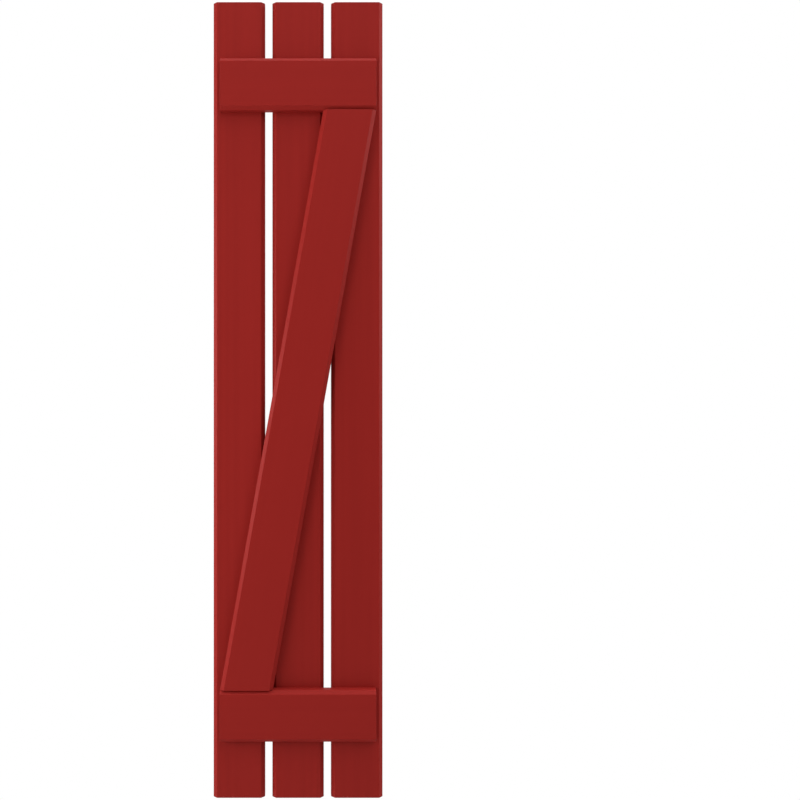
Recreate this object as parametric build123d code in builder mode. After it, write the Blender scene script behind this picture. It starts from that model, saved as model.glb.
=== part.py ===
from build123d import *

import os
from math import acos, atan2, cos, hypot, radians, tan

# A board and batten shutter. Upright boards stand a gap apart. A level batten near
# each end and a brace that leans between the battens hold them together. Countersunk
# wood screws, driven from the back, fix each batten and the brace to every board that
# they cross.
#
# Millimetres. +X is to the right seen from the front, which faces -Y, and +Z is up.
# The origin is the centre of the back, which lies flat against the wall.

# Upright boards, each with the side of the centre line that it is on
board_sides = {"board_left": -1, "board_centre": 0, "board_right": 1}
board_width = 88.9
board_height = 1371.6
board_thickness = 19.05
board_gap = 12.7
board_chamfer = 6.35

# Level battens: the inset is from the outer boards' edges to a batten's ends, and the
# offset is from the boards' ends to a batten's outer edge
batten_width = 88.9
batten_thickness = 19.05
batten_chamfer = 6.35
batten_inset = 12.7
batten_offset = 101.6

# Diagonal brace
brace_width = 88.9
brace_thickness = 19.05
brace_chamfer = 6.35

# No. 8 wood screws, 1-1/4 inch long, with a square recess
screw_length = 31.75
screw_head_diameter = 8.4
screw_head_angle = 82
screw_shank_diameter = 4.17
screw_point_length = 3.0
screw_recess_width = 2.8
screw_recess_depth = 1.8

# How the screws sit: the head's face is sunk below the back, the clearance is all
# round a screw, and the pilot hole goes on past its point
screw_sink = 0.4
screw_clearance = 0.1
pilot_room = 0.5

# Where the screws are: a diagonal pair where a batten crosses an outer board and one
# where it crosses the centre board. The brace has one near each end, in an outer
# board, and two in the centre board, above and below the middle.
batten_screw_spread_x = 34.0
batten_screw_spread_z = 44.0
brace_screw_from_end = 95.0
brace_screw_from_middle = 130.0

# What follows from those sizes
board_pitch = board_width + board_gap
batten_length = 2 * board_pitch + board_width - 2 * batten_inset
batten_centre_z = board_height / 2 - batten_offset - batten_width / 2

# The brace fills the space between the battens from corner to corner, so its lean
# solves length * cos(lean) - height * sin(lean) = brace_width
brace_height = 2 * batten_centre_z - batten_width
brace_lean = acos(brace_width / hypot(batten_length, brace_height)) - atan2(
    brace_height, batten_length
)
brace_level_width = brace_width / cos(brace_lean)

screw_head_radius = screw_head_diameter / 2
screw_shank_radius = screw_shank_diameter / 2
screw_head_slope = tan(radians(screw_head_angle / 2))
screw_head_height = (screw_head_radius - screw_shank_radius) / screw_head_slope
screw_hole_radius = screw_shank_radius + screw_clearance
countersink_radius = screw_head_radius + screw_clearance + screw_sink * screw_head_slope
pilot_depth = screw_sink + screw_length - board_thickness + pilot_room


def batten_spots(batten_z, boards=board_sides):
    """The (x, z) of a batten's screws on each named board."""
    half_x, half_z = batten_screw_spread_x / 2, batten_screw_spread_z / 2
    spots = []
    for board in boards:
        side = board_sides[board]
        if side == 0:
            spots.append((0, batten_z))
        else:
            spots.append((side * (board_pitch + half_x), batten_z + half_z))
            spots.append((side * (board_pitch - half_x), batten_z - half_z))
    return spots


def brace_spots(boards=board_sides):
    """The (x, z) of the brace's screws, mid-way across what it covers of a board."""
    end_z = brace_height / 2 - brace_screw_from_end
    spots = []
    for board in boards:
        side = board_sides[board]
        board_left_x = side * board_pitch - board_width / 2
        if side == 0:
            heights = [-brace_screw_from_middle, brace_screw_from_middle]
        else:
            heights = [side * end_z]
        for z in heights:
            brace_left_x = z * tan(brace_lean) - brace_level_width / 2
            left_x = max(board_left_x, brace_left_x)
            right_x = min(board_left_x + board_width, brace_left_x + brace_level_width)
            spots.append(((left_x + right_x) / 2, z))
    return spots


def facing_back(spots, depth):
    """Places at the given depth from the back, with their own Z out of the back."""
    return [Location((x, -depth, z), (-90, 0, 0)) for x, z in spots]


def front_edges(part, axis):
    """The long edges of a part's front face, which run along the axis."""
    return part.faces().sort_by(Axis.Y)[0].edges().filter_by(axis)


def finish(part, name):
    """Labels a finished piece and writes it."""
    part.label = name
    export_step(part, f"parts/{name}.step")


def make_board(name):
    """An upright board with countersunk clearance holes for its screws."""
    spots = (
        batten_spots(batten_centre_z, [name])
        + batten_spots(-batten_centre_z, [name])
        + brace_spots([name])
    )
    with BuildPart() as board:
        with BuildSketch(Plane.XY.offset(-board_height / 2)):
            with Locations((board_sides[name] * board_pitch, -board_thickness / 2)):
                Rectangle(board_width, board_thickness)
        extrude(amount=board_height)
        chamfer(front_edges(board, Axis.Z), board_chamfer)
        with Locations(*facing_back(spots, 0)):
            CounterSinkHole(
                radius=screw_hole_radius,
                counter_sink_radius=countersink_radius,
                depth=board_thickness,
                counter_sink_angle=screw_head_angle,
            )
    finish(board.part, name)


def make_batten(name, centre_z):
    """A level batten on the boards' fronts, with blind pilot holes in its back."""
    with BuildPart() as batten:
        with BuildSketch(Plane.YZ.offset(-batten_length / 2)):
            with Locations((-board_thickness - batten_thickness / 2, centre_z)):
                Rectangle(batten_thickness, batten_width)
        extrude(amount=batten_length)
        chamfer(front_edges(batten, Axis.X), batten_chamfer)
        with Locations(*facing_back(batten_spots(centre_z), board_thickness)):
            Hole(radius=screw_hole_radius, depth=pilot_depth)
    finish(batten.part, name)


def make_brace():
    """The diagonal brace, its ends cut level to butt against the battens."""
    x, z = batten_length / 2, brace_height / 2
    with BuildPart() as brace:
        with BuildSketch(Plane.XZ.offset(board_thickness)):
            with BuildLine():
                Polyline(
                    (x, z),
                    (x - brace_level_width, z),
                    (-x, -z),
                    (brace_level_width - x, -z),
                    close=True,
                )
            make_face()
        extrude(amount=brace_thickness)
        front = brace.faces().sort_by(Axis.Y)[0]
        chamfer(front.edges().sort_by(SortBy.LENGTH)[-2:], brace_chamfer)
        with Locations(*facing_back(brace_spots(), board_thickness)):
            Hole(radius=screw_hole_radius, depth=pilot_depth)
    finish(brace.part, "brace")


def make_screw():
    """One screw with its head's face at the origin and its point downwards."""
    with BuildPart() as screw:
        with BuildSketch(Plane.XZ):
            with BuildLine():
                Polyline(
                    (0, 0),
                    (screw_head_radius, 0),
                    (screw_shank_radius, -screw_head_height),
                    (screw_shank_radius, screw_point_length - screw_length),
                    (0, -screw_length),
                    close=True,
                )
            make_face()
        revolve(axis=Axis.Z)
        with BuildSketch():
            Rectangle(screw_recess_width, screw_recess_width)
        extrude(amount=-screw_recess_depth, mode=Mode.SUBTRACT)
    return screw.part


def make_screws(name, spots):
    """A group of screws, driven from the back at the given places."""
    one_screw = make_screw()
    with BuildPart() as screws:
        with Locations(*facing_back(spots, screw_sink)):
            add(one_screw)
    finish(screws.part, name)


os.makedirs("parts", exist_ok=True)
for board_name in board_sides:
    make_board(board_name)
make_batten("top_batten", batten_centre_z)
make_batten("bottom_batten", -batten_centre_z)
make_brace()
make_screws("top_batten_screws", batten_spots(batten_centre_z))
make_screws("bottom_batten_screws", batten_spots(-batten_centre_z))
make_screws("brace_screws", brace_spots())
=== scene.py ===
"""A red board and batten shutter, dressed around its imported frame.

Three upright boards stand a gap apart. A level batten near each end and a brace that
leans between them hold the boards together, and countersunk wood screws, driven from
the back, fix them. The wood is painted all over and the screws are bare zinc.

Metres. +X is to the right seen from the front, which faces -Y, and +Z is up. The back
of the boards lies on the plane y = 0.
"""

from __future__ import annotations

import logging
from collections.abc import Iterable, Sequence
from dataclasses import dataclass, field
from enum import Enum
from math import acos, atan2, cos, hypot, pi, radians, sqrt, tan

import bmesh
import bpy
from mathutils import Matrix, Vector

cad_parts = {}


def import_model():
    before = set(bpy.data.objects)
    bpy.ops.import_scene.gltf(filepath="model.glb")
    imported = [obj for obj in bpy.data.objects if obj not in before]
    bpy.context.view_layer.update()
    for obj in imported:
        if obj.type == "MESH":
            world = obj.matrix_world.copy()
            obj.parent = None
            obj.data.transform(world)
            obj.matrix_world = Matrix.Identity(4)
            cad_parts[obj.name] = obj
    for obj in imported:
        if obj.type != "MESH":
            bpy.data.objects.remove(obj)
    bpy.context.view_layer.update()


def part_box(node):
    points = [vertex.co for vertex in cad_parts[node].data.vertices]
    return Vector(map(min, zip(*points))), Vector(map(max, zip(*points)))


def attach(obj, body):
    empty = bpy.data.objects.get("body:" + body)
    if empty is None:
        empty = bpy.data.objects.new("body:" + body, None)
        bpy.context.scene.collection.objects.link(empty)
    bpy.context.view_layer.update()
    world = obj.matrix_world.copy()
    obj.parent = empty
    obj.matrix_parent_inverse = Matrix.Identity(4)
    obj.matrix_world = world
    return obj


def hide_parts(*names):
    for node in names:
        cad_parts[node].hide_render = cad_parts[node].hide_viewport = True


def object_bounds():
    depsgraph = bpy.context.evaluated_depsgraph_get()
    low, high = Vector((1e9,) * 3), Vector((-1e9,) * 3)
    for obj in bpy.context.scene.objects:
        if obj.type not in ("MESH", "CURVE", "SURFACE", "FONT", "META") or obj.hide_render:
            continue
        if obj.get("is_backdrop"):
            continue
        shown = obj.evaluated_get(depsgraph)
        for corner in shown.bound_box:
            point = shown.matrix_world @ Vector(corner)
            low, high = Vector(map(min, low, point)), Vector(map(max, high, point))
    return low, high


log = logging.getLogger("shutter")

Colour = tuple[float, float, float]
Point = tuple[float, float, float]
# A spot is (x, z) on the back, a span (low, high) and a profile's point (radius, height)
Spot = tuple[float, float]
Span = tuple[float, float]
Profile = Sequence[tuple[float, float]]

MM = 0.001
ROOT_BODY = "root"

# Points of a mesh that are nearer to each other than this are one
MERGE_DISTANCE = 1e-7
# Directions whose cosine is greater than this are one
PARALLEL_COSINE = 0.999
# Faces that meet at a sharper turn than this have a crisp edge between them
CREASE_ANGLE = radians(40)
# How far large faces outweigh small ones in the shading of an edge
FLAT_FACE_WEIGHT = 100

# Nearly all the values of a noise lie in this span
NOISE_SPAN: Span = (0.3, 0.7)
NOISE_ROUGHNESS = 0.55
# How many finer layers lie on a plain pattern, and on one that is seen close up
PLAIN_DETAIL = 2.0
CLOSE_DETAIL = 4.0
# A wave texture's rings are this far apart at a scale of 1
WAVE_SPACING = 2 * pi / 20
WHITE = (1.0, 1.0, 1.0, 1.0)

# From the centre of each piece of wood to the pith that its growth rings go round
PITH_OFFSETS: dict[str, Point] = {
    "board_left": (18 * MM, 62 * MM, 0.0),
    "board_centre": (-31 * MM, 84 * MM, 0.0),
    "board_right": (9 * MM, 71 * MM, 0.0),
    "top_batten": (0.0, 66 * MM, 14 * MM),
    "bottom_batten": (0.0, 78 * MM, -22 * MM),
    "brace": (24 * MM, 70 * MM, 0.0),
}


class Grain(Enum):
    """Which way the wood's grain runs in a piece."""

    UPRIGHT = "upright"
    LEVEL = "level"
    LEANING = "leaning"


class Slot(Enum):
    """The record's material slot that a piece's finish comes from."""

    BOARD_PAINT = "board_paint"
    BATTEN_PAINT = "batten_paint"
    SCREW_STEEL = "screw_steel"


class Side(Enum):
    """Which side of the shutter's centre line a board is on, as a step in X."""

    LEFT = -1
    CENTRE = 0
    RIGHT = 1

    @property
    def board(self) -> str:
        """The name of the board on that side."""
        return f"board_{self.name.lower()}"


class Graph:
    """A material's or the world's node tree, with a short call for each kind of step."""

    def __init__(self, owner: bpy.types.Material | bpy.types.World) -> None:
        """Empties the owner's node tree.

        Args:
            owner: the material or world that the nodes belong to.
        """
        owner.use_nodes = True
        self.tree = owner.node_tree
        self.tree.nodes.clear()

    def add(self, kind: str, label: str = "", **settings: object) -> bpy.types.Node:
        """Adds a node.

        Args:
            kind: the node's type, without the leading "ShaderNode".
            label: what the node is for.
            settings: properties of the node, such as its operation.

        Returns:
            The new node.
        """
        node = self.tree.nodes.new(f"ShaderNode{kind}")
        node.label = label
        for name, value in settings.items():
            setattr(node, name, value)
        return node

    def feed(self, node: bpy.types.Node, **inputs: object) -> bpy.types.Node:
        """Sets or links a node's inputs.

        Args:
            node: the node that takes the inputs.
            inputs: a value or an output socket for each input, named in lower case
                with underscores, as in base_color for "Base Color".

        Returns:
            The same node.
        """
        for name, value in inputs.items():
            wanted = name.replace("_", " ")
            socket = next(s for s in node.inputs if s.name.lower() == wanted and s.enabled)
            self.fill(socket, value)
        return node

    def fill(self, socket: bpy.types.NodeSocket, value: object) -> None:
        """Sets or links one input.

        Args:
            socket: the input's socket.
            value: a value or an output socket.
        """
        if isinstance(value, bpy.types.NodeSocket):
            self.tree.links.new(value, socket)
        else:
            socket.default_value = value

    def step(self, kind: str, *inputs: object, **settings: object) -> bpy.types.NodeSocket:
        """Adds a node whose inputs are told apart by their order.

        Args:
            kind: the node's type, without the leading "ShaderNode".
            inputs: a value or an output socket for each input, from the first on.
            settings: properties of the node, such as its operation.

        Returns:
            The socket of its result.
        """
        node = self.add(kind, **settings)
        for socket, value in zip(node.inputs, inputs):
            self.fill(socket, value)
        return next(s for s in node.outputs if s.enabled)

    def math(self, operation: str, first: object, second: object) -> bpy.types.NodeSocket:
        """One step of arithmetic between two numbers or sockets."""
        return self.step("Math", first, second, operation=operation)

    def stretched(self, centre: Point, turn: Point, stretch: float) -> bpy.types.NodeSocket:
        """Object coordinates about a centre, turned and drawn out along their own Z.

        Args:
            centre: the point that becomes the origin.
            turn: the turn about X, Y and Z that takes Z to the grain, in radians.
            stretch: how many times longer than wide a pattern becomes.

        Returns:
            The coordinates' socket.
        """
        place = self.add("TexCoord").outputs["Object"]
        mapping = self.add("Mapping", "along the grain", vector_type="TEXTURE")
        self.feed(mapping, vector=place, location=centre, rotation=turn, scale=(1, 1, stretch))
        return mapping.outputs["Vector"]

    def noise(
        self, vector: bpy.types.NodeSocket, size: float, label: str, detail: float = PLAIN_DETAIL
    ) -> bpy.types.NodeSocket:
        """Noise of a given size.

        Args:
            vector: the coordinates.
            size: how wide a patch of the noise is, in metres.
            label: what the noise stands for.
            detail: how many finer layers lie on it.

        Returns:
            The noise's socket, about 0.5 on average.
        """
        node = self.add("TexNoise", label)
        self.feed(node, vector=vector, scale=1 / size, detail=detail, roughness=NOISE_ROUGHNESS)
        return node.outputs["Fac"]

    def ranged(self, value: bpy.types.NodeSocket, span: Span, ends: Span) -> bpy.types.NodeSocket:
        """Maps a span of values onto another.

        Args:
            value: the value's socket.
            span: the values that give the first and the second end.
            ends: the two ends, of which the first may be the greater.

        Returns:
            The mapped value's socket.
        """
        node = self.add("MapRange")
        self.feed(node, value=value, from_min=span[0], from_max=span[1])
        self.feed(node, to_min=ends[0], to_max=ends[1])
        return node.outputs[0]

    def blend(
        self, factor: bpy.types.NodeSocket, first: Colour, second: Colour
    ) -> bpy.types.NodeSocket:
        """A colour between two, by a factor from 0 to 1.

        Args:
            factor: the factor's socket.
            first: the colour at 0.
            second: the colour at 1.

        Returns:
            The colour's socket.
        """
        node = self.add("Mix", data_type="RGBA")
        self.feed(node, factor=factor, a=(*first, 1), b=(*second, 1))
        return next(s for s in node.outputs if s.enabled)

    def relief(
        self, height: bpy.types.NodeSocket, depth: float, under: bpy.types.NodeSocket | None = None
    ) -> bpy.types.NodeSocket:
        """A bump of a given depth.

        Args:
            height: the height's socket, from 0 to 1.
            depth: how deep the relief is, in metres.
            under: the normal of the relief that this one lies on.

        Returns:
            The normal's socket.
        """
        node = self.add("Bump")
        self.feed(node, height=height, distance=depth, strength=1.0)
        if under is not None:
            self.feed(node, normal=under)
        return node.outputs["Normal"]

    def background_seen(self) -> bpy.types.NodeSocket:
        """Whether a ray looks at the background, straight or by way of gloss or glass.

        Returns:
            A socket that is 1 where it does.
        """
        path = self.add("LightPath")
        looks = self.math("MAXIMUM", path.outputs["Is Camera Ray"], path.outputs["Is Glossy Ray"])
        return self.math("MAXIMUM", looks, path.outputs["Is Transmission Ray"])


@dataclass(frozen=True)
class RedPaint:
    """Low sheen exterior paint over planed softwood, whose grain shows through a little.

    Attributes:
        colour: the colour of the paint.
        roughness: how blurred its sheen is.
        specular_level: how strong its sheen is.
        grain_show: how far the grain shows through, from 0 to 1.
        ring_spacing: from one growth ring of the wood to the next.
        ring_wander: how far the rings stray from true circles.
        ring_wander_scale: how fine that straying is.
        pore_width: how wide a pore of the grain is.
        streak_width: how wide a broad streak of the grain is.
        grain_stretch: how many times longer than wide the grain's marks are.
        mark_shares: how much pores, rings and streaks each add to the grain.
        grain_tint: how far the grain moves the colour, where 0.5 is the whole way.
        grain_tint_span: the values of the grain between which it does.
        grain_sheen: how far the grain moves the roughness.
        grain_sheen_span: the values of the grain between which it does.
        grain_depth: how deep the grain is under the paint.
        tint_reach: how far the palest and deepest tints are from the colour.
        cloud_width: how wide a patch is where the coats came out uneven.
        cloud_tint: how far such a patch moves the colour.
        cloud_sheen: how far such a patch moves the roughness.
        ripple_width: how wide a ripple of the paint film is.
        ripple_depth: how deep it is.
    """

    colour: Colour = (0.272, 0.0162, 0.013)
    roughness: float = 0.44
    specular_level: float = 0.05
    grain_show: float = 1.0
    ring_spacing: float = 6.5 * MM
    ring_wander: float = 2.6
    ring_wander_scale: float = 0.35
    pore_width: float = 1.3 * MM
    streak_width: float = 11.7 * MM
    grain_stretch: float = 45.0
    mark_shares: tuple[float, float, float] = (0.5, 0.22, 0.5)
    grain_tint: float = 0.36
    grain_tint_span: Span = (0.35, 0.85)
    grain_sheen: float = 0.05
    grain_sheen_span: Span = (0.3, 0.9)
    grain_depth: float = 0.05 * MM
    tint_reach: float = 0.07
    cloud_width: float = 160 * MM
    cloud_tint: float = 0.06
    cloud_sheen: float = 0.02
    ripple_width: float = 2.4 * MM
    ripple_depth: float = 0.012 * MM

    def material(self, name: str, grain_turn: Point, pith: Point) -> bpy.types.Material:
        """The paint on one piece of wood.

        Args:
            name: the material's name.
            grain_turn: the turn that takes Z to the grain, in radians.
            pith: a point on the line that the wood's growth rings go round.

        Returns:
            The material.
        """
        material = bpy.data.materials.new(name)
        graph = Graph(material)
        grain = self.grain(graph, graph.stretched(pith, grain_turn, self.grain_stretch))
        place = graph.add("TexCoord").outputs["Object"]
        cloud = graph.noise(place, self.cloud_width, "uneven coats")
        ripple = graph.noise(place, self.ripple_width, "ripple of the paint film")

        # The paint's own colour is half-way between the deepest tint and the palest
        half_way = 0.5
        shown = self.grain_tint * self.grain_show
        tint = graph.math(
            "ADD",
            graph.ranged(grain, self.grain_tint_span, (half_way + shown, half_way - shown)),
            graph.ranged(cloud, NOISE_SPAN, (-self.cloud_tint, self.cloud_tint)),
        )
        dullest = self.roughness + self.grain_sheen
        shiniest = self.roughness - self.grain_sheen
        sheen = graph.math(
            "ADD",
            graph.ranged(grain, self.grain_sheen_span, (dullest, shiniest)),
            graph.ranged(cloud, NOISE_SPAN, (-self.cloud_sheen, self.cloud_sheen)),
        )
        film = graph.relief(ripple, self.ripple_depth)
        surface = graph.add("BsdfPrincipled")
        surface.inputs["Specular IOR Level"].default_value = self.specular_level
        graph.feed(
            surface,
            base_color=graph.blend(tint, self.tinted(-1), self.tinted(1)),
            roughness=sheen,
            normal=graph.relief(grain, self.grain_depth * self.grain_show, film),
        )
        graph.feed(graph.add("OutputMaterial"), surface=surface.outputs["BSDF"])
        return material

    def tinted(self, way: int) -> Colour:
        """The deepest tint of the paint for a way of -1, or the palest for 1."""
        return tuple(channel * (1 + way * self.tint_reach) for channel in self.colour)

    def grain(self, graph: Graph, along: bpy.types.NodeSocket) -> bpy.types.NodeSocket:
        """The figure of the wood: pores, growth rings and broad streaks.

        Args:
            graph: the material's node tree.
            along: coordinates about the pith, drawn out along the grain.

        Returns:
            The figure's socket, from 0 to about 1.
        """
        rings = graph.add("TexWave", "growth rings", wave_type="RINGS", rings_direction="Z")
        graph.feed(
            rings,
            vector=along,
            scale=WAVE_SPACING / self.ring_spacing,
            distortion=self.ring_wander,
            detail=PLAIN_DETAIL,
            detail_scale=self.ring_wander_scale,
        )
        marks = (
            graph.noise(along, self.pore_width, "pores", CLOSE_DETAIL),
            rings.outputs["Fac"],
            graph.noise(along, self.streak_width, "broad streaks"),
        )
        pores, late_wood, streaks = (
            graph.math("MULTIPLY", mark, share) for mark, share in zip(marks, self.mark_shares)
        )
        return graph.math("ADD", graph.math("ADD", pores, late_wood), streaks)


@dataclass(frozen=True)
class ZincPlate:
    """Bright zinc on steel, dulled in patches.

    Attributes:
        bright: the colour of the bright zinc.
        dull: the colour in the middle of a dull patch.
        roughness: how blurred the bright zinc's gloss is.
        dulling: how much rougher a dull patch is.
        patch_width: how wide a patch is.
        patch_span: the values of the patches' noise from wholly dull to wholly bright.
        scratch_width: how wide a fine mark is.
        scratch_depth: how deep it is.
    """

    bright: Colour = (0.58, 0.59, 0.6)
    dull: Colour = (0.42, 0.43, 0.44)
    roughness: float = 0.4
    dulling: float = 0.1
    patch_width: float = 1.6 * MM
    patch_span: Span = (0.35, 0.65)
    scratch_width: float = 0.22 * MM
    scratch_depth: float = 0.01 * MM

    def material(self, name: str) -> bpy.types.Material:
        """The finish of the screws.

        Args:
            name: the material's name.

        Returns:
            The material.
        """
        material = bpy.data.materials.new(name)
        graph = Graph(material)
        place = graph.add("TexCoord").outputs["Object"]
        patches = graph.noise(place, self.patch_width, "dull patches", CLOSE_DETAIL)
        marks = graph.noise(place, self.scratch_width, "fine marks")
        brightness = graph.ranged(patches, self.patch_span, (0, 1))
        roughness_ends = (self.roughness + self.dulling, self.roughness)
        surface = graph.add("BsdfPrincipled")
        surface.inputs["Metallic"].default_value = 1.0
        graph.feed(
            surface,
            base_color=graph.blend(brightness, self.dull, self.bright),
            roughness=graph.ranged(patches, NOISE_SPAN, roughness_ends),
            normal=graph.relief(marks, self.scratch_depth),
        )
        graph.feed(graph.add("OutputMaterial"), surface=surface.outputs["BSDF"])
        return material


def bevelled_edges(
    bm: bmesh.types.BMesh, edges: Iterable[bmesh.types.BMEdge], width: float, steps: int
) -> None:
    """Cuts or rounds edges.

    Args:
        bm: the mesh.
        edges: the edges to cut.
        width: how far from the edge the cut starts, on each face.
        steps: 1 for a flat chamfer, more for a round.
    """
    bmesh.ops.bevel(
        bm,
        geom=list(edges),
        offset=width,
        offset_type="OFFSET",
        affect="EDGES",
        segments=steps,
        profile=0.5,
        material=-1,
        clamp_overlap=True,
    )


def turned(profile: Profile, steps: int) -> bmesh.types.BMesh:
    """Spins a profile round Z.

    Args:
        profile: (radius, height) points, from one end to the other.
        steps: how many facets go round.

    Returns:
        The mesh, open only where the profile ends off the axis.
    """
    bm = bmesh.new()
    points = [bm.verts.new((radius, 0, height)) for radius, height in profile]
    edges = [bm.edges.new(pair) for pair in zip(points, points[1:])]
    bmesh.ops.spin(
        bm,
        geom=points + edges,
        cent=(0, 0, 0),
        axis=(0, 0, 1),
        angle=2 * pi,
        steps=steps,
        use_merge=True,
        use_duplicate=False,
    )
    bmesh.ops.remove_doubles(bm, verts=bm.verts, dist=MERGE_DISTANCE)
    bmesh.ops.recalc_face_normals(bm, faces=bm.faces)
    return bm


def absorb(group: bmesh.types.BMesh, part: bmesh.types.BMesh) -> None:
    """Adds one mesh to another and frees it.

    Args:
        group: the mesh that grows.
        part: the mesh that goes into it.
    """
    scratch = bpy.data.meshes.new("scratch")
    part.to_mesh(scratch)
    part.free()
    group.from_mesh(scratch)
    bpy.data.meshes.remove(scratch)


def finished(bm: bmesh.types.BMesh, name: str) -> bpy.types.Object:
    """Turns a bmesh into an object of the scene and frees it.

    Args:
        bm: the mesh, with its place in its vertices.
        name: the object's name.

    Returns:
        The object, at the origin.
    """
    mesh = bpy.data.meshes.new(name)
    bm.to_mesh(mesh)
    bm.free()
    piece = bpy.data.objects.new(name, mesh)
    bpy.context.scene.collection.objects.link(piece)
    return piece


def smoothed(piece: bpy.types.Object) -> None:
    """Shades rounds smooth and keeps flats flat.

    Args:
        piece: the object to shade.
    """
    for face in piece.data.polygons:
        face.use_smooth = True
    piece.data.set_sharp_from_angle(angle=CREASE_ANGLE)
    weighted = piece.modifiers.new("flat faces stay flat", "WEIGHTED_NORMAL")
    weighted.keep_sharp = True
    weighted.weight = FLAT_FACE_WEIGHT


@dataclass
class ScrewLayout:
    """Where the screws go in, as (x, z) on the back of the boards.

    Attributes:
        board_pitch: from one board's centre to the next.
        board_width: the width of a board.
        batten_z: how far a batten's middle is from the shutter's, up or down.
        brace_lean: how far from upright the brace leans, in radians.
        brace_level_width: the width of the brace measured level.
        brace_half_height: half the brace's height.
        batten_spread_x: between an outer board's two screws in a batten, in X.
        batten_spread_z: between those two screws, in Z.
        brace_from_end: from each end of the brace to its outer screws, in Z.
        brace_from_middle: from the brace's middle to its inner screws, in Z.
    """

    board_pitch: float
    board_width: float
    batten_z: float
    brace_lean: float
    brace_level_width: float
    brace_half_height: float
    batten_spread_x: float = 34.0 * MM
    batten_spread_z: float = 44.0 * MM
    brace_from_end: float = 95.0 * MM
    brace_from_middle: float = 130.0 * MM

    def in_batten(self, centre_z: float, sides: Iterable[Side] = Side) -> list[Spot]:
        """A diagonal pair in each outer board and one in the centre board.

        Args:
            centre_z: the height of the batten's middle.
            sides: the boards that are asked for.

        Returns:
            The places of the screws in those boards.
        """
        half_x, half_z = self.batten_spread_x / 2, self.batten_spread_z / 2
        spots = []
        for side in sides:
            if side is Side.CENTRE:
                spots.append((0.0, centre_z))
            else:
                board_x = side.value * self.board_pitch
                spots.append((board_x + side.value * half_x, centre_z + half_z))
                spots.append((board_x - side.value * half_x, centre_z - half_z))
        return spots

    def in_brace(self, sides: Iterable[Side] = Side) -> list[Spot]:
        """Mid-way across what the brace covers of a board.

        Args:
            sides: the boards that are asked for.

        Returns:
            The places of the screws in those boards.
        """
        spots = []
        for side in sides:
            heights = [side.value * (self.brace_half_height - self.brace_from_end)]
            if side is Side.CENTRE:
                heights = [-self.brace_from_middle, self.brace_from_middle]
            board_left = side.value * self.board_pitch - self.board_width / 2
            for z in heights:
                brace_left = z * tan(self.brace_lean) - self.brace_level_width / 2
                left = max(board_left, brace_left)
                right = min(board_left + self.board_width, brace_left + self.brace_level_width)
                spots.append(((left + right) / 2, z))
        return spots

    def in_board(self, side: Side) -> list[Spot]:
        """All the screws that one board holds."""
        battens = self.in_batten(self.batten_z, [side]) + self.in_batten(-self.batten_z, [side])
        return battens + self.in_brace([side])


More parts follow.
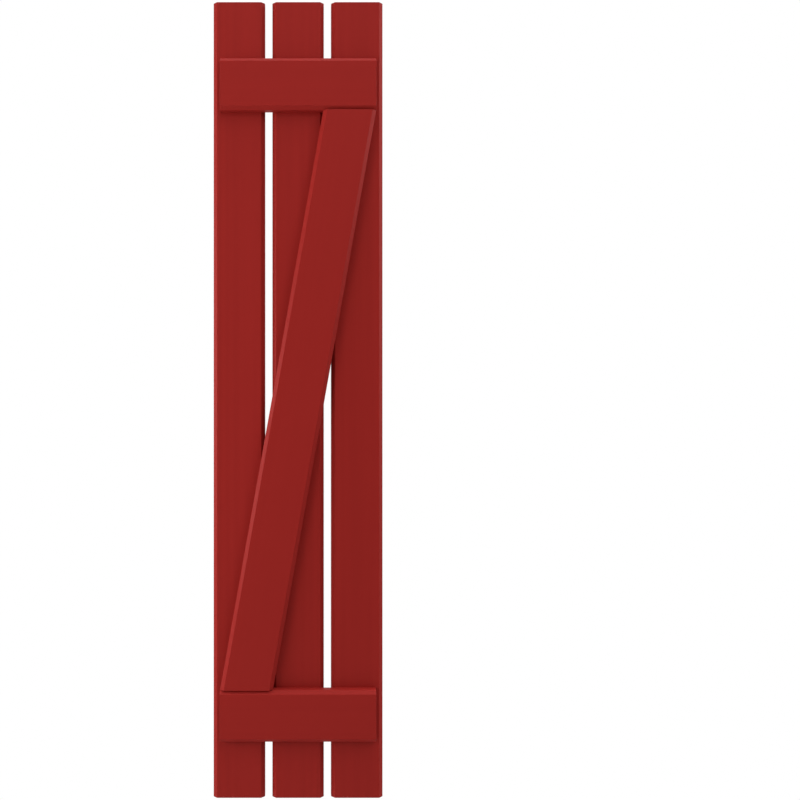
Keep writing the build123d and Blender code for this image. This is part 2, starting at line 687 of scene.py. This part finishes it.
@dataclass
class WoodScrew:
    """A countersunk wood screw with a square recess, and the hole that it goes in.

    Attributes:
        length: from the face of the head to the tip.
        head_radius: the radius of the head's face.
        head_angle: the angle of the head's cone, in radians.
        head_rim: how far the edge of the head is rounded.
        rim_curve: points of that round, as shares of it in from the edge and down.
        shank_radius: the radius of the plain shank, and of the thread.
        shank_end: how far below the head's face the plain shank ends.
        shank_taper: over what length it then narrows to the core.
        root_radius: the radius of the core inside the thread.
        point_length: the length of the tapered point.
        point_curve: the point's outline from the tip, as shares of its radius and length.
        thread_pitch: from one turn of the thread to the next.
        thread_width: how wide the thread is at its foot.
        thread_crest: the share of that width that is left at the crest.
        thread_foot: how far the thread's foot is sunk in the core.
        thread_growth: over how many turns the thread rises to its full height.
        thread_end: the share of the point, from the tip, that has no thread.
        thread_facets: how many facets one turn of the thread has.
        taper_power: how the thread narrows along the point: 1 is evenly, less is later.
        least_radius: how near the thread's foot comes to the screw's middle.
        recess_width: the width of the square recess.
        recess_depth: its depth.
        recess_taper: the share of its width that is left at its floor.
        recess_cone: how far the floor's middle is below its edge.
        sink: how far the head's face is below the back of the boards.
        clearance: the room all round the screw in its hole.
        pilot_room: the room past its tip.
        overrun: how far past the back the shape that cuts its hole reaches.
        facets: how many facets go round.
    """

    length: float = 31.75 * MM
    head_radius: float = 4.2 * MM
    head_angle: float = radians(82)
    head_rim: float = 0.25 * MM
    rim_curve: Profile = ((0.3, 0.5), (0.4, 0.12), (1.0, 0.0))
    shank_radius: float = 2.085 * MM
    shank_end: float = 11.0 * MM
    shank_taper: float = 0.8 * MM
    root_radius: float = 1.5 * MM
    point_length: float = 5.5 * MM
    point_curve: Profile = ((0.0, 0.0), (0.4, 0.25), (0.8, 0.65), (1.0, 1.0))
    thread_pitch: float = 3.2 * MM
    thread_width: float = 1.0 * MM
    thread_crest: float = 0.1
    thread_foot: float = 0.15 * MM
    thread_growth: float = 0.4
    thread_end: float = 0.25
    thread_facets: int = 24
    taper_power: float = 0.7
    least_radius: float = 0.1 * MM
    recess_width: float = 2.8 * MM
    recess_depth: float = 1.8 * MM
    recess_taper: float = 0.88
    recess_cone: float = 0.25 * MM
    sink: float = 0.4 * MM
    clearance: float = 0.1 * MM
    pilot_room: float = 0.5 * MM
    overrun: float = 1.0 * MM
    facets: int = 48

    @property
    def head_slope(self) -> float:
        """How fast the head's cone widens."""
        return tan(self.head_angle / 2)

    @property
    def neck(self) -> float:
        """How far below its face the head's cone ends."""
        return (self.head_radius - self.shank_radius) / self.head_slope

    @property
    def thread_start(self) -> float:
        """The height at which the middle of the thread's first turn is."""
        return -self.shank_end - self.thread_pitch / 2

    def placed(self, bm: bmesh.types.BMesh, spot: Spot, depth: float) -> None:
        """Moves a mesh made about Z to a spot and depth in the wood, +Z out of the back."""
        place = Matrix.Translation((spot[0], -depth, spot[1])) @ Matrix.Rotation(-pi / 2, 4, "X")
        bmesh.ops.transform(bm, matrix=place, verts=bm.verts)

    def body(self) -> bmesh.types.BMesh:
        """The head, shank and point, with the recess in the head.

        Returns:
            A closed mesh with the head's face at z = 0.
        """
        point = [
            (across * self.root_radius, along * self.point_length - self.length)
            for across, along in self.point_curve
        ]
        shank_and_cone = [
            (self.root_radius, -self.shank_end - self.shank_taper),
            (self.shank_radius, -self.shank_end),
            (self.shank_radius, -self.neck),
            (self.head_radius - self.head_rim * self.head_slope, -self.head_rim),
        ]
        rim = [
            (self.head_radius - inwards * self.head_rim, -down * self.head_rim)
            for inwards, down in self.rim_curve
        ]
        bm = turned(point + shank_and_cone + rim, self.facets)
        self.cut_recess(bm)
        bmesh.ops.recalc_face_normals(bm, faces=bm.faces)
        return bm

    def cut_recess(self, bm: bmesh.types.BMesh) -> None:
        """Closes the face of the head around a square recess that tapers to its floor.

        Args:
            bm: the turned screw, open at the face of its head.
        """
        rim = [edge for edge in bm.edges if edge.is_boundary]
        corner = self.recess_width / sqrt(2)
        bmesh.ops.create_circle(
            bm, cap_ends=False, segments=4, radius=corner, matrix=Matrix.Rotation(pi / 4, 4, "Z")
        )
        sides = [edge for edge in bm.edges if edge.is_wire]
        bmesh.ops.subdivide_edges(bm, edges=sides, cuts=self.facets // len(sides) - 1)
        mouth = [edge for edge in bm.edges if edge.is_wire]
        bmesh.ops.bridge_loops(bm, edges=rim + mouth)
        wall = bmesh.ops.extrude_edge_only(bm, edges=mouth)["geom"]
        floor_verts = [item for item in wall if isinstance(item, bmesh.types.BMVert)]
        floor_edges = [item for item in wall if isinstance(item, bmesh.types.BMEdge)]
        bmesh.ops.scale(bm, vec=(self.recess_taper, self.recess_taper, 1), verts=floor_verts)
        bmesh.ops.translate(bm, vec=(0, 0, -self.recess_depth), verts=floor_verts)
        recess_floor = bmesh.ops.edgeloop_fill(bm, edges=floor_edges)
        bmesh.ops.poke(bm, faces=recess_floor["faces"], offset=-self.recess_cone)

    def thread(self) -> bmesh.types.BMesh:
        """The thread, a ridge that winds down the core and dies out at both ends.

        Returns:
            A closed mesh, sunk a little into the core.
        """
        bm = bmesh.new()
        foot, crest = self.root_radius - self.thread_foot, self.shank_radius
        half = self.thread_width / 2
        section = [
            (foot, self.thread_start + half),
            (crest, self.thread_start + self.thread_crest * half),
            (crest, self.thread_start - self.thread_crest * half),
            (foot, self.thread_start - half),
        ]
        points = [bm.verts.new((radius, 0, height)) for radius, height in section]
        ring = [bm.edges.new((points[i - 1], points[i])) for i in range(len(points))]
        run = self.length + self.thread_start - self.thread_end * self.point_length
        turns = run / self.thread_pitch
        steps = round(turns * self.thread_facets)
        bmesh.ops.spin(
            bm,
            geom=points + ring,
            cent=(0, 0, 0),
            axis=(0, 0, -1),
            dvec=(0, 0, -run / steps),
            angle=2 * pi * turns,
            steps=steps,
            use_merge=False,
            use_duplicate=False,
        )
        bmesh.ops.holes_fill(bm, edges=bm.edges, sides=len(section))
        for vert in bm.verts:
            self.fade(vert)
        bmesh.ops.recalc_face_normals(bm, faces=bm.faces)
        return bm

    def fade(self, vert: bmesh.types.BMVert) -> None:
        """Draws a point of the thread in towards the core near both ends.

        Args:
            vert: the point.
        """
        radius = hypot(vert.co.x, vert.co.y)
        to_tip = (vert.co.z + self.length) / self.point_length
        core = self.root_radius * min(1.0, to_tip**self.taper_power)
        growth = (self.thread_start - vert.co.z) / (self.thread_growth * self.thread_pitch)
        full_height = self.shank_radius - self.root_radius
        height = full_height * min(1.0, max(0.0, growth), to_tip)
        share = (radius - self.root_radius) / full_height
        if share > 0:
            wanted = core + share * height
        else:
            wanted = max(core - self.thread_foot, self.least_radius)
        vert.co.x *= wanted / radius
        vert.co.y *= wanted / radius

    def hole(self, spots: Iterable[Spot], name: str) -> bpy.types.Object:
        """The shape that the screws' holes take out of the wood.

        Args:
            spots: the (x, z) places of the screws.
            name: the name of the helper object.

        Returns:
            A helper object that is cut away from a piece and then removed.
        """
        radius = self.shank_radius + self.clearance
        mouth = self.head_radius + self.clearance + self.sink * self.head_slope
        cone_end = (mouth - radius) / self.head_slope
        hole_end = self.sink + self.length + self.pilot_room
        profile = [
            (0, -hole_end),
            (radius, -hole_end),
            (radius, -cone_end),
            (mouth + self.overrun * self.head_slope, self.overrun),
            (0, self.overrun),
        ]
        cutter = bmesh.new()
        for spot in spots:
            one = turned(profile, self.facets)
            self.placed(one, spot, 0)
            absorb(cutter, one)
        return finished(cutter, name)


@dataclass
class Timber:
    """A length of planed stock with chamfered front edges and eased arrises.

    Attributes:
        node: the CAD node that it stands for.
        low: its lowest corner.
        high: its highest corner.
        grain: which way its grain runs.
        lean: how far from upright it leans, in radians, with its ends cut level.
        chamfer: the width of the flat that is cut off each long front edge.
        arris: the round that planing and paint leave on every other edge.
        arris_steps: how many facets that round has.
    """

    node: str
    low: Vector
    high: Vector
    grain: Grain
    lean: float = 0.0
    chamfer: float = 6.35 * MM
    arris: float = 0.45 * MM
    arris_steps: int = 3

    @property
    def centre(self) -> Vector:
        """The middle of its box."""
        return (self.low + self.high) / 2

    @property
    def long_axis(self) -> Vector:
        """The direction that its long edges run in.

        Returns:
            A vector of length 1.
        """
        if self.grain is Grain.LEVEL:
            return Vector((1, 0, 0))
        return Vector((tan(self.lean), 0, 1)).normalized()

    @property
    def grain_turn(self) -> Point:
        """The turn that takes Z to the grain."""
        return (0, pi / 2, 0) if self.grain is Grain.LEVEL else (0, self.lean, 0)

    def blank(self) -> bmesh.types.BMesh:
        """The square-edged stock, cut to length.

        Returns:
            A box, sheared so that a leaning piece keeps its ends level.
        """
        size = self.high - self.low
        size.x -= tan(self.lean) * size.z
        lean = Matrix.Identity(4)
        lean[0][2] = tan(self.lean)
        place = Matrix.Translation(self.centre) @ lean @ Matrix.Diagonal((*size, 1))
        bm = bmesh.new()
        bmesh.ops.create_cube(bm, size=1, matrix=place)
        return bm

    def is_long_front_edge(self, edge: bmesh.types.BMEdge) -> bool:
        """Whether an edge is one of the two long edges of the front face.

        Args:
            edge: an edge of the blank.

        Returns:
            True for those two edges.
        """
        start, end = (vert.co for vert in edge.verts)
        at_front = max(start.y, end.y) < self.low.y + self.arris
        along = abs((end - start).normalized().dot(self.long_axis)) > PARALLEL_COSINE
        return at_front and along

    def build(self, screw: WoodScrew, spots: Sequence[Spot]) -> bpy.types.Object:
        """Shapes the piece and cuts the screws' holes in it.

        Args:
            screw: the screw that goes in each hole.
            spots: the (x, z) places of the screws.

        Returns:
            The piece, not yet painted.
        """
        bm = self.blank()
        bevelled_edges(bm, filter(self.is_long_front_edge, bm.edges), self.chamfer, steps=1)
        bevelled_edges(bm, bm.edges, self.arris, steps=self.arris_steps)
        bmesh.ops.recalc_face_normals(bm, faces=bm.faces)
        piece = finished(bm, f"painted_{self.node}")
        self.drill(piece, screw.hole(spots, f"holes_{self.node}"))
        smoothed(piece)
        return piece

    def drill(self, piece: bpy.types.Object, cutter: bpy.types.Object) -> None:
        """Cuts a helper object out of a piece and removes the helper.

        Args:
            piece: the piece to cut.
            cutter: what is cut away.
        """
        cut = piece.modifiers.new("screw holes", "BOOLEAN")
        cut.operation = "DIFFERENCE"
        cut.solver = "EXACT"
        cut.object = cutter
        graph = bpy.context.evaluated_depsgraph_get()
        drilled = bpy.data.meshes.new_from_object(piece.evaluated_get(graph))
        piece.modifiers.clear()
        solid = piece.data
        piece.data = drilled
        bpy.data.meshes.remove(solid)
        drilled.name = piece.name
        bpy.data.objects.remove(cutter)

    def paint(self, piece: bpy.types.Object, finish: RedPaint) -> None:
        """Gives the piece its paint.

        Args:
            piece: the piece.
            finish: the paint.
        """
        pith = self.centre + Vector(PITH_OFFSETS[self.node])
        piece.data.materials.clear()
        piece.data.materials.append(
            finish.material(f"red paint on {self.node}", self.grain_turn, tuple(pith))
        )


@dataclass
class Shutter:
    """The whole shutter: its boards, battens, brace and screws.

    Attributes:
        screw: the screw that holds the wood together.
        board_paint: the paint on the boards, through which the grain shows.
        batten_paint: the paint on the smoother battens and brace.
        zinc: the finish of the screws.
        brace_width: the width of the brace's stock, square to its length.
        screw_turn_deg: by how many degrees each screw is turned further than the last.
    """

    screw: WoodScrew = field(default_factory=WoodScrew)
    board_paint: RedPaint = field(default_factory=RedPaint)
    batten_paint: RedPaint = field(default_factory=lambda: RedPaint(grain_show=0.35))
    zinc: ZincPlate = field(default_factory=ZincPlate)
    brace_width: float = 88.9 * MM
    screw_turn_deg: int = 37

    def layout(self) -> ScrewLayout:
        """Works out where the screws are from the frame's boxes.

        Returns:
            The layout of the screws.
        """
        centre_low, centre_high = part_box("board_centre")
        right_low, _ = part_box("board_right")
        batten_low, batten_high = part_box("top_batten")
        brace_low, brace_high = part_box("brace")
        span = brace_high - brace_low
        lean = acos(self.brace_width / hypot(span.x, span.z)) - atan2(span.z, span.x)
        return ScrewLayout(
            board_pitch=right_low.x - centre_low.x,
            board_width=centre_high.x - centre_low.x,
            batten_z=(batten_low.z + batten_high.z) / 2,
            brace_lean=lean,
            brace_level_width=self.brace_width / cos(lean),
            brace_half_height=span.z / 2,
        )

    def build(self) -> None:
        """Builds, dresses and places every piece."""
        layout = self.layout()
        for side in Side:
            board = Timber(side.board, *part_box(side.board), Grain.UPRIGHT)
            self.add_timber(board, layout.in_board(side), self.board_paint, Slot.BOARD_PAINT)
        for name, centre_z in (
            ("top_batten", layout.batten_z),
            ("bottom_batten", -layout.batten_z),
        ):
            batten = Timber(name, *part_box(name), Grain.LEVEL)
            spots = layout.in_batten(centre_z)
            self.add_timber(batten, spots, self.batten_paint, Slot.BATTEN_PAINT)
            self.add_screws(f"{name}_screws", spots)
        brace = Timber("brace", *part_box("brace"), Grain.LEANING, layout.brace_lean)
        spots = layout.in_brace()
        self.add_timber(brace, spots, self.batten_paint, Slot.BATTEN_PAINT)
        self.add_screws("brace_screws", spots)

    def add_timber(
        self, timber: Timber, spots: Sequence[Spot], finish: RedPaint, slot: Slot
    ) -> None:
        """Builds one piece of wood and puts it in its node's place.

        Args:
            timber: the piece of wood.
            spots: the (x, z) places of the screws that go into it.
            finish: its paint.
            slot: the record's material slot that its finish comes from.
        """
        piece = timber.build(self.screw, spots)
        timber.paint(piece, finish)
        self.place(piece, timber.node, slot)

    def add_screws(self, node: str, spots: Sequence[Spot]) -> None:
        """Builds one group of screws and puts it in its node's place.

        Args:
            node: the CAD node of the group.
            spots: the (x, z) places of its screws.
        """
        group = bmesh.new()
        for number, spot in enumerate(spots):
            # Each screw stops at its own turn, as a driver leaves it
            turn = Matrix.Rotation(radians(self.screw_turn_deg * number), 4, "Z")
            for part in (self.screw.body(), self.screw.thread()):
                bmesh.ops.transform(part, matrix=turn, verts=part.verts)
                self.screw.placed(part, spot, self.screw.sink)
                absorb(group, part)
        piece = finished(group, f"zinc_{node}")
        smoothed(piece)
        piece.data.materials.append(self.zinc.material(f"zinc on {node}"))
        self.place(piece, node, Slot.SCREW_STEEL)

    def place(self, piece: bpy.types.Object, node: str, slot: Slot) -> None:
        """Hangs a piece on the root body, hides the CAD node that it replaces and reports it.

        Args:
            piece: the piece.
            node: the CAD node that it replaces.
            slot: the record's material slot that its finish comes from; not used.
        """
        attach(piece, ROOT_BODY)
        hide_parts(node)
        log.info("%s: %d faces", piece.name, len(piece.data.polygons))


@dataclass(frozen=True)
class Softbox:
    """A large soft lamp that points at the shutter.

    Attributes:
        name: the lamp's name.
        place: where it stands, from the middle of the shutter's back.
        width: how wide it is.
        height: how high it is.
        power: its power, in watts.
    """

    name: str
    place: Point
    width: float
    height: float
    power: float

    def add(self) -> None:
        """Puts the lamp in the scene."""
        lamp = bpy.data.lights.new(self.name, "AREA")
        lamp.shape = "RECTANGLE"
        lamp.size = self.width
        lamp.size_y = self.height
        lamp.energy = self.power
        holder = bpy.data.objects.new(self.name, lamp)
        holder.location = self.place
        holder.rotation_euler = (-Vector(self.place)).to_track_quat("-Z", "Y").to_euler()
        holder.visible_camera = False
        bpy.context.scene.collection.objects.link(holder)
        log.info("%s: %.0f W", self.name, self.power)


@dataclass
class Studio:
    """The floor, the white surroundings, the lamps and the camera.

    Attributes:
        ambient: how bright the surroundings are as a light.
        floor_drop: how far the floor is below the shutter, which hangs on a wall.
        floor_radius: how far the floor reaches.
        floor_facets: how many straight sides the floor's edge has.
        floor_shown: from where to where the floor's own colour gives way to white.
        floor_colour: the colour of the floor.
        softboxes: the lamps.
        camera_distance: from the front of the boards to the camera.
        view_width: what the picture covers across at the front of the boards.
        picture_width_px: the width of the photograph.
        shutter_centre_px: where the shutter's centre is in the photograph.
    """

    ambient: float = 0.1
    floor_drop: float = 0.52
    floor_radius: float = 12.0
    floor_facets: int = 96
    floor_shown: Span = (0.75, 1.1)
    floor_colour: Colour = (0.75, 0.74, 0.72)
    softboxes: tuple[Softbox, ...] = (
        Softbox("left_softbox", (-2.4, -0.7, 0.3), width=1.2, height=1.4, power=18.0),
        Softbox("near_left_softbox", (-1.25, -1.25, 0.1), width=0.7, height=0.9, power=11.0),
        Softbox("near_left_strip", (-1.65, -0.12, 0.1), width=0.4, height=0.9, power=11.0),
        Softbox("near_right_softbox", (1.25, -1.25, 0.9), width=0.7, height=0.9, power=5.5),
        Softbox("right_strip", (2.6, -0.12, 0.9), width=0.5, height=2.0, power=14.0),
        Softbox("upper_right_softbox", (2.2, -2.0, 2.4), width=1.6, height=1.6, power=22.5),
        Softbox("overhead_softbox", (0.0, -0.9, 3.0), width=2.0, height=2.0, power=38.5),
        Softbox("overhead_strip", (0.0, -0.12, 2.9), width=2.0, height=0.5, power=25.5),
        Softbox("upper_front_softbox", (0.0, -3.0, 1.9), width=2.0, height=1.2, power=9.0),
        Softbox("right_rim_softbox", (2.6, 1.3, 0.8), width=2.2, height=2.8, power=49.0),
        Softbox("back_softbox", (-2.0, 2.4, 0.6), width=2.8, height=2.8, power=45.0),
    )
    camera_distance: float = 1.565
    view_width: float = 1.3786
    picture_width_px: float = 800.0
    shutter_centre_px: float = 298.1

    def build(self) -> None:
        """Adds everything around the shutter."""
        self.add_surroundings()
        self.add_floor()
        for softbox in self.softboxes:
            softbox.add()
        self.add_camera()

    def add_surroundings(self) -> None:
        """White all round to the eye, and a plain even light on the shutter."""
        world = bpy.data.worlds.new("white surroundings")
        bpy.context.scene.world = world
        graph = Graph(world)
        light = graph.add("Background", "as a light")
        graph.feed(light, color=WHITE, strength=self.ambient)
        sight = graph.add("Background", "as seen")
        graph.feed(sight, color=WHITE, strength=1.0)
        both = (light.outputs[0], sight.outputs[0])
        mix = graph.step("MixShader", graph.background_seen(), *both)
        graph.feed(graph.add("OutputWorld"), surface=mix)

    def add_floor(self) -> None:
        """A pale floor that holds the shutter's shadow and fades to white far off."""
        low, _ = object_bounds()
        bm = bmesh.new()
        bmesh.ops.create_circle(
            bm,
            cap_ends=True,
            segments=self.floor_facets,
            radius=self.floor_radius,
            matrix=Matrix.Translation((0, 0, low.z - self.floor_drop)),
        )
        floor = finished(bm, "floor")
        floor.data.materials.append(self.floor_material())
        floor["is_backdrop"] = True

    def floor_material(self) -> bpy.types.Material:
        """Pale matt paper near the shutter, plain white to the eye far off.

        Returns:
            The material.
        """
        material = bpy.data.materials.new("pale floor")
        graph = Graph(material)
        place = graph.add("TexCoord").outputs["Object"]
        level = graph.step("VectorMath", place, (1, 1, 0), operation="MULTIPLY")
        distance = graph.step("VectorMath", level, operation="LENGTH")
        far = graph.ranged(distance, self.floor_shown, (0.0, 1.0))
        paper = graph.add("BsdfDiffuse")
        graph.feed(paper, color=(*self.floor_colour, 1), roughness=0.0)
        white = graph.add("Emission")
        graph.feed(white, color=WHITE, strength=1.0)
        share = graph.math("MULTIPLY", far, graph.background_seen())
        mix = graph.step("MixShader", share, paper.outputs[0], white.outputs[0])
        graph.feed(graph.add("OutputMaterial"), surface=mix)
        return material

    def add_camera(self) -> None:
        """The camera, level with the shutter's middle and square to its front."""
        boards_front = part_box("board_centre")[0].y
        lens = bpy.data.cameras.new("camera")
        lens.lens = lens.sensor_width * self.camera_distance / self.view_width
        lens.shift_x = 0.5 - self.shutter_centre_px / self.picture_width_px
        camera = bpy.data.objects.new("camera", lens)
        camera.location = (0, boards_front - self.camera_distance, 0)
        camera.rotation_euler = (pi / 2, 0, 0)
        bpy.context.scene.collection.objects.link(camera)
        bpy.context.scene.camera = camera


def main() -> None:
    """Builds the shutter around the frame, then the studio around the shutter."""
    logging.basicConfig(level=logging.INFO, format="%(name)s: %(message)s")
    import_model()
    bpy.context.scene.view_settings.view_transform = "Standard"
    Shutter().build()
    Studio().build()


if __name__ == "__main__":
    main()
